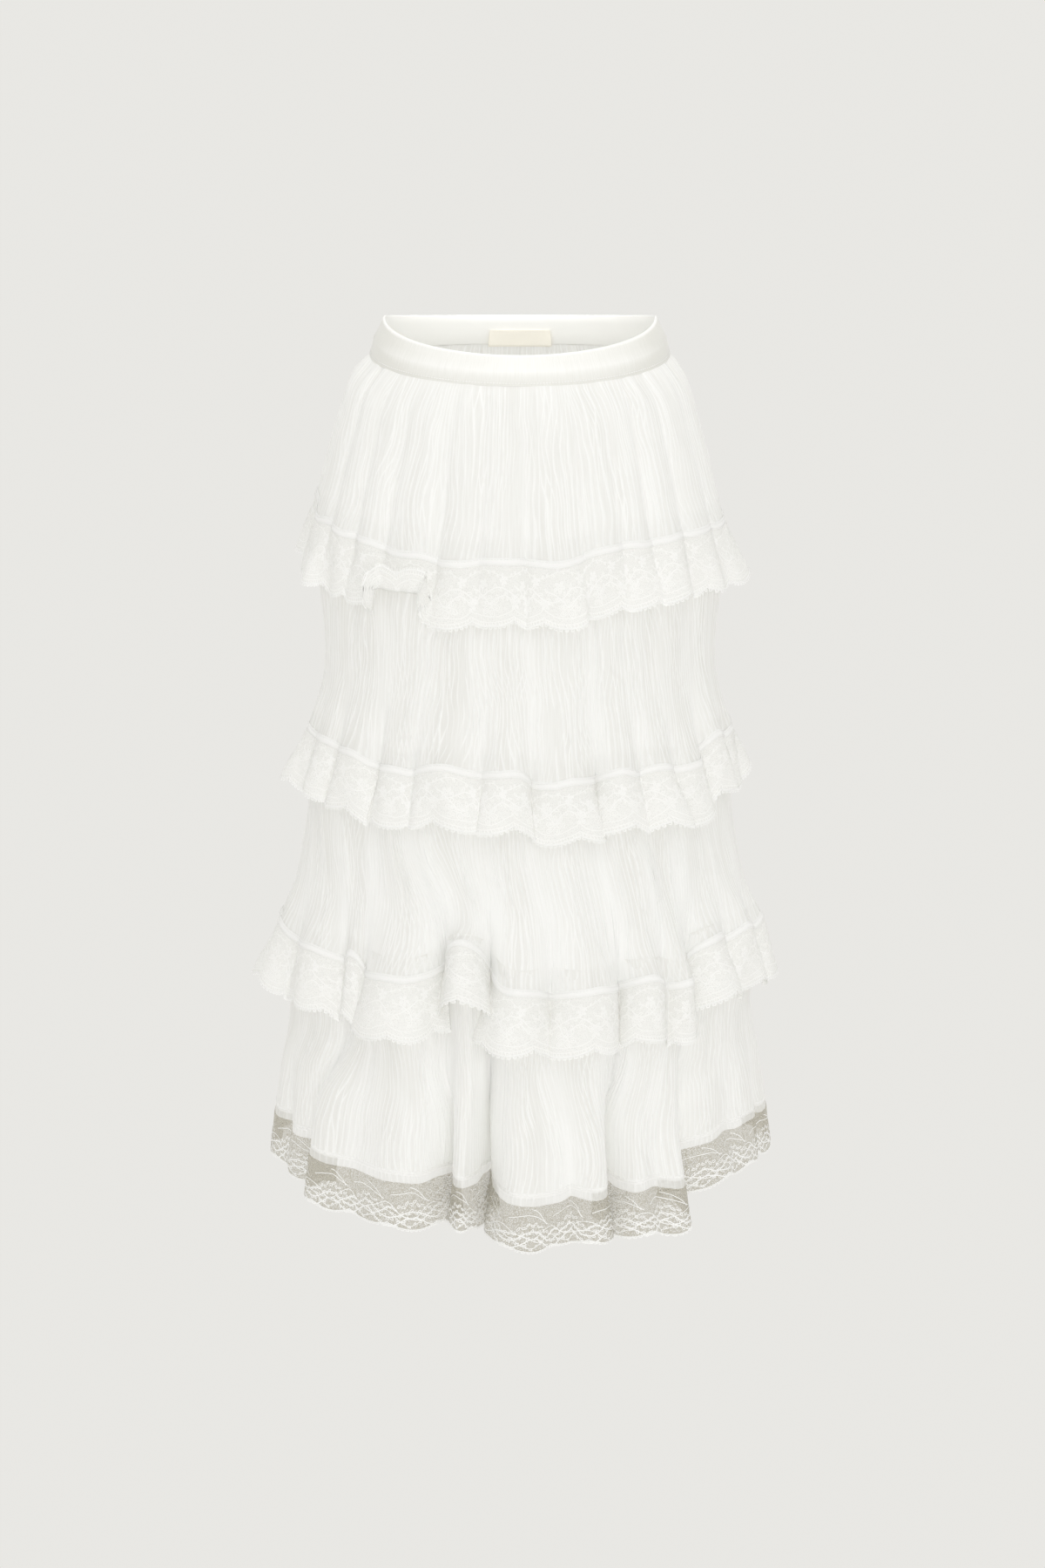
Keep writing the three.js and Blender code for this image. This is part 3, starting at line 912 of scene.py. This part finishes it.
def ruffle_motif(length, scallop):
    """One repeat of the ruffle lace, in mm along and down: the rope, cords, fine cords and dense spots."""
    u = np.linspace(0, REPEAT, 29)
    edge = length - scallop_edge(u, scallop)
    rope = np.stack([u, edge - 0.7], -1)
    inner = [np.stack([u, edge - 4.4], -1)]
    for x in np.arange(1.5, REPEAT, REPEAT / 16):
        ends = np.array([x, x + 1.2])
        inner.append(np.stack([ends, length - scallop_edge(ends, scallop) - [4.4, 1]], -1))
    u = np.linspace(0, REPEAT, 25)
    arc = np.stack([u, length - 9.5 - 1.3 * scallop_edge(u, scallop)], -1)
    vine = wavy(u, length - 31, 5.5, 0.6)
    top = wavy(u, 7, 3, 2.4)
    t = np.linspace(0, 1, 11)
    left = np.stack([REPEAT * (0.5 - 0.45 * t), length - 19 - 16 * np.sin(1.7 * t)], -1)
    right = np.stack([REPEAT * (0.5 + 0.42 * t), length - 19 - 10 * np.sin(2.6 * t)], -1)
    fine = [arc, top] + inner + sprig(vine, 12, 2.6) + sprig(left, 6, 2.2)
    fine += sprig(right, 6, 2.2, 1) + sprig(top, 9, 1.7)
    # Each flower: share of the repeat, distance down, radius, petals and turn.
    flowers = [
        (0.5, length - 19, 9.5, 6, 0.3),
        (0.03, length - 22, 6.0, 5, 0.9),
        (0.3, 17, 5.2, 5, 0.2),
        (0.78, 13, 4.6, 5, 0.7),
    ]
    spots = []
    for share, y, radius, petals, turn in flowers:
        fine += flower(share * REPEAT, y, radius, petals, turn)
        spots.append((share * REPEAT, y, radius))
    return rope, bead_row(length, scallop, 11, 0.9, 1.2) + [vine, left, right], fine, spots


def hem_motif(length, scallop):
    """One repeat of the open hem lace: leafy cords that cross in waves, under plain net."""
    u = np.linspace(0, REPEAT, 25)
    rope = np.stack([u, length - scallop_edge(u, scallop) - 0.5], -1)
    wave = np.cos(2 * math.pi * u / REPEAT)
    waves = [np.stack([u, length - 6.8 - 7 * k + (5.5 - 0.6 * k) * wave], -1) for k in range(3)]
    counter = np.cos(2 * math.pi * u / REPEAT + 0.5)
    cross = [np.stack([u, length - 9.5 - 8 * k - 5.5 * counter], -1) for k in range(2)]
    fine = cross + [wavy(u, length - 13.5, -4, 1.1)] + bead_row(length, scallop, 12, 0.3, 0.9)
    for k, line in enumerate(waves):
        fine += sprig(line, 13, 2.1, k, 0.45)
    fine += sprig(cross[0], 9, 1.8, 0, 0.45)
    t = np.linspace(0, 1, 14)
    fine.append(np.stack([REPEAT * (0.05 + 0.85 * t), 13 - 6 * np.sin(3.0 * t) + 5 * t], -1))
    fine.append(np.stack([REPEAT * (0.45 + 0.4 * t), 4 + 13 * t * t], -1))
    return rope, waves[:2], fine, [(0.0, length - 18, 5.0), (0.5 * REPEAT, length - 7, 5.0)]


def dense_net(spots, u, w):
    """How far the net is filled in around the spots of the pattern."""
    dense = np.zeros(w.shape)
    for x, y, radius in spots:
        away = np.hypot((u - x + REPEAT / 2) % REPEAT - REPEAT / 2, w - y)
        dense = np.maximum(dense, 0.5 * smooth(1.4 - away / radius))
    return dense


def pattern_cords(ruffle, groups, first, last):
    """The cords of the repeats from first to last, laid a little unevenly. Returns points and faces.

    Each group is some lines of a repeat, and the width and height of their cords.
    """
    cells = round(ruffle.period / 13)
    layers = []
    for lines, width, height in groups:
        paths = []
        for line in lines:
            x = (line[:, 0] + np.arange(first, last)[:, None] * REPEAT).ravel()
            y = np.tile(line[:, 1], last - first)
            inside = smooth((ruffle.length - 6 - y) / 6)
            seeds = [1000 + 10 * ruffle.tier + k for k in range(2)]
            dx, dy = (noise_round(seed, cells, x, ruffle.period, y / 13) * 1.8 * inside for seed in seeds)
            p, q = ruffle.at(x + dx, y + dy, 0.3)
            paths += zip(p.reshape(last - first, -1, 3), q.reshape(last - first, -1, 3))
        layers.append(cords(paths, width, height))
    return join(layers)


def build_lace(tier):
    """A gathered lace ruffle: its net, the cords of its pattern, and the rope along its edge."""
    ruffle = Ruffle(tier)
    closed = close(ruffle.grid)
    flat = np.append(ruffle.flat, ruffle.period)
    edge = close(ruffle.edge, 0)
    if tier == LOWEST:
        material, motif, rope_width, rope_height = SHADED_HEM_NET, hem_motif, 1.0, 0.4
    else:
        material, motif, rope_width, rope_height = NET, ruffle_motif, 1.8, 0.8
    rope, plain, fine, spots = motif(ruffle.length, ruffle.lace["scallop"])
    groups = [([rope], rope_width, rope_height), (plain, 1.1, 0.0), (fine, 0.7, 0.0)]
    middle = round(flat[ruffle.half] / REPEAT)
    repeats = {"front": (0, middle), "back": (middle, ruffle.repeats)}
    for side, a, b in sides(ruffle.half, len(ruffle.flat)):
        name = f"lace_{tier + 1}_{side}"
        w = np.linspace(0, 1, ruffle.ROWS)[:, None] * edge[None, a:b + 1]
        u = np.broadcast_to(flat[None, a:b + 1], w.shape)
        obj = cloth_object(f"{name}_net", closed[:, a:b + 1], material, np.stack([u, -w], -1),
                           tone=dense_net(spots, u, w))
        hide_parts(name)
        corded = make_object(f"{name}_cords", *pattern_cords(ruffle, groups, *repeats[side]), CORD)


# Waistband and label

BAND_COLUMNS = 288
# The band from its seam up the outside, over the top and down the inside: share of its height from the top,
# distance out, and tone. The tone paints a satin sheen across the middle of the outside, painted shade
# towards the seam, and painted light on the top edge and down the inside.
BAND_PROFILE = [
    (1.03, 0.2, 0.2),
    (0.98, 1.0, 0.2),
    (0.93, 0.7, 0.2),
    (0.88, 1.1, 0.25),
    (0.72, 1.7, 0.35),
    (0.55, 3.0, 0.6),
    (0.3, 1.6, 0.42),
    (0.1, 1.1, 0.4),
    (0.03, 0.9, 0.7),
    (0.0, 0.2, 0.9),
    (0.0, -0.5, 1.0),
    (0.03, -1.1, 1.0),
    (0.25, -1.2, 1.0),
    (0.6, -1.2, 1.0),
    (0.97, -1.2, 1.0),
    (1.0, -0.8, 1.0),
]
BAND_SEWN_ROW = 2
BAND_OUTER_ROWS = 8
# Half the label's width, and how far it reaches from the band's middle ring to its lowest.
LABEL_HALF = 30.5
LABEL_REACH = 1.23


def band_ring(share):
    """The ring of the band at a share of its height from the top."""
    top, middle, low = BAND_RINGS
    if share < 0.5:
        return ring_between(top, middle, share * 2)
    return ring_between(middle, low, share * 2 - 1)


def build_waistband():
    """A satin band with a rounded top edge: outside, over the top and down the inside."""
    angle = np.linspace(-90, 270, BAND_COLUMNS + 1)[:-1]
    lumps = Noise(5, 60)(angle / 6)
    rows = []
    for share, out, _ in BAND_PROFILE:
        ripple = 0.25 * lumps * math.sin(math.pi * min(max(share, 0), 1))
        rows.append(ring_points(band_ring(share), angle, out + ripple))
    closed = close(np.array(rows))
    tone = np.repeat([[row[2]] for row in BAND_PROFILE], BAND_COLUMNS + 1, 1)
    # The outside is painted darker towards both sides, a painted shade where the band turns away from the
    # light.
    tone[:BAND_OUTER_ROWS] -= 0.6 * np.abs(np.sin(np.radians(np.append(angle, 270)))) ** 5
    uv = np.stack(np.meshgrid(np.arange(closed.shape[1]) * 2.9, -np.arange(closed.shape[0]) * 4.0), -1)
    obj = cloth_object("waistband_satin", closed, SATIN, uv, inside_out=True, tone=tone)
    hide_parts("waistband")
    n = close(outward(rows[BAND_SEWN_ROW]), 0)
    sewn = sew("waistband_stitches", [(closed[BAND_SEWN_ROW] + n * 0.1, n)], 2.9)


def build_label():
    """A plain label inside the centre back, a little curled at its lower corners."""
    x = np.linspace(-1, 1, 25)
    angle = 180 + np.degrees(LABEL_HALF / BAND_RINGS[1]["wide"]) * x
    front, back = [], []
    for share in np.arange(9) / 8:
        t = share * LABEL_REACH
        ring = ring_between(BAND_RINGS[1], BAND_RINGS[2], t)
        curl = 0.9 * np.abs(x) ** 3 * t
        front.append(ring_points(ring, angle, -2.5 - curl))
        back.append(ring_points(ring, angle, -1.6 - curl))
    grid = close(np.array(front + back[::-1]), 0)
    uv = np.stack(np.meshgrid(x * LABEL_HALF, np.arange(len(grid)) * -4.0), -1)
    obj = cloth_object("waist_label_cloth", grid, LABEL, uv, tone=np.full(grid.shape[:2], 0.6))
    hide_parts("waist_label")


build_waistband()
build_label()
for tier in range(len(TIERS)):
    grid, half = build_tier(tier)
    if tier < LOWEST:
        build_tape(tier, grid, half)
    build_lace(tier)


# Studio, in metres and watts

BACKDROP = (0.812, 0.804, 0.775)
FLOOR = -1.05
# The camera looks down by this many degrees.
TILT = 9.74
# Lamps inside, out of sight, keep the deep folds and the inside of the band pale: name, place, size, power.
GLOWS = [
    ("glow_low", (0, 0, -0.73), 0.06, 0.07),
    ("glow_left", (-0.05, -0.01, -0.065), 0.02, 0.015),
    ("glow_right", (0.05, -0.01, -0.065), 0.02, 0.015),
]

scene = bpy.context.scene
scene.view_settings.view_transform = "Standard"
scene.cycles.transparent_max_bounces = 24
# White cloth passes light on many times before the folds look as pale as they are.
scene.cycles.max_bounces = 20
scene.cycles.diffuse_bounces = 14


def place_light(name, light, place, aim, power):
    """Puts a light in place and turns it to its aim."""
    light.energy = power
    obj = bpy.data.objects.new(name, light)
    scene.collection.objects.link(obj)
    obj.location = place
    direction = np.array(aim, float) - np.array(place, float)
    yaw = math.atan2(direction[0], direction[1])
    pitch = math.atan2(direction[2], math.hypot(direction[0], direction[1]))
    obj.rotation_euler = (math.pi / 2 + pitch, 0, -yaw)


def build_world():
    """The camera sees the plain backdrop, and the skirt is lit by a pale sky all round."""
    world = bpy.data.worlds.new("studio")
    scene.world = world
    world.use_nodes = True
    nodes, links = world.node_tree.nodes, world.node_tree.links
    shown = nodes["Background"]
    shown.inputs["Color"].default_value = (*BACKDROP, 1)
    around = new_node(nodes, "Background", {"Color": (1.0, 0.995, 0.97, 1), "Strength": 0.87})
    seen = nodes.new("ShaderNodeLightPath").outputs["Is Camera Ray"]
    links.new(mix_node(nodes, links, seen, around, shown).outputs[0], nodes["World Output"].inputs["Surface"])


def build_floor():
    """A wide floor in the colour of the backdrop."""
    mesh = bpy.data.meshes.new("floor")
    corners = [(-8, -4, FLOOR), (8, -4, FLOOR), (8, 14, FLOOR), (-8, 14, FLOOR)]
    mesh.from_pydata(corners, [], [(0, 1, 2, 3)])
    floor = bpy.data.objects.new("floor", mesh)
    scene.collection.objects.link(floor)
    mat, nodes, links, surface = new_material("pale_floor")
    shine = new_node(nodes, "Emission", {"Color": (*BACKDROP, 1)})
    links.new(shine.outputs["Emission"], surface)
    mesh.materials.append(mat)


def build_lights():
    """Two soft boxes, a spot from above that reaches the inside of the band at the back, and the lamps."""
    for name, place, aim, size, power in (
        ("key", (0.6, -4.5, -0.35), (0, 0, -0.42), 2.4, 37),
        ("top", (-0.2, -2.6, 3.2), (0, 0, -0.4), 2.0, 9),
    ):
        light = bpy.data.lights.new(name, "AREA")
        light.size = size
        place_light(name, light, place, aim, power)
    snoot = bpy.data.lights.new("snoot", "SPOT")
    snoot.spot_size = math.radians(22)
    snoot.spot_blend = 0.8
    snoot.shadow_soft_size = 0.1
    place_light("snoot", snoot, (0, -0.36, 0.72), (0, 0.085, -0.01), 17)
    for name, (x, y, z), size, power in GLOWS:
        glow = bpy.data.lights.new(name, "POINT")
        glow.shadow_soft_size = size
        place_light(name, glow, (x, y, z), (x, y - 1, z), power)


def build_camera():
    """The camera of the photograph."""
    camera = bpy.data.cameras.new("camera")
    camera.lens = 60
    camera.sensor_width = 36
    view = bpy.data.objects.new("camera", camera)
    scene.collection.objects.link(view)
    view.location = (0.0025, -2.55, 0)
    view.rotation_euler = (math.radians(90 - TILT), 0, 0)
    scene.camera = view


build_world()
build_floor()
build_lights()
build_camera()
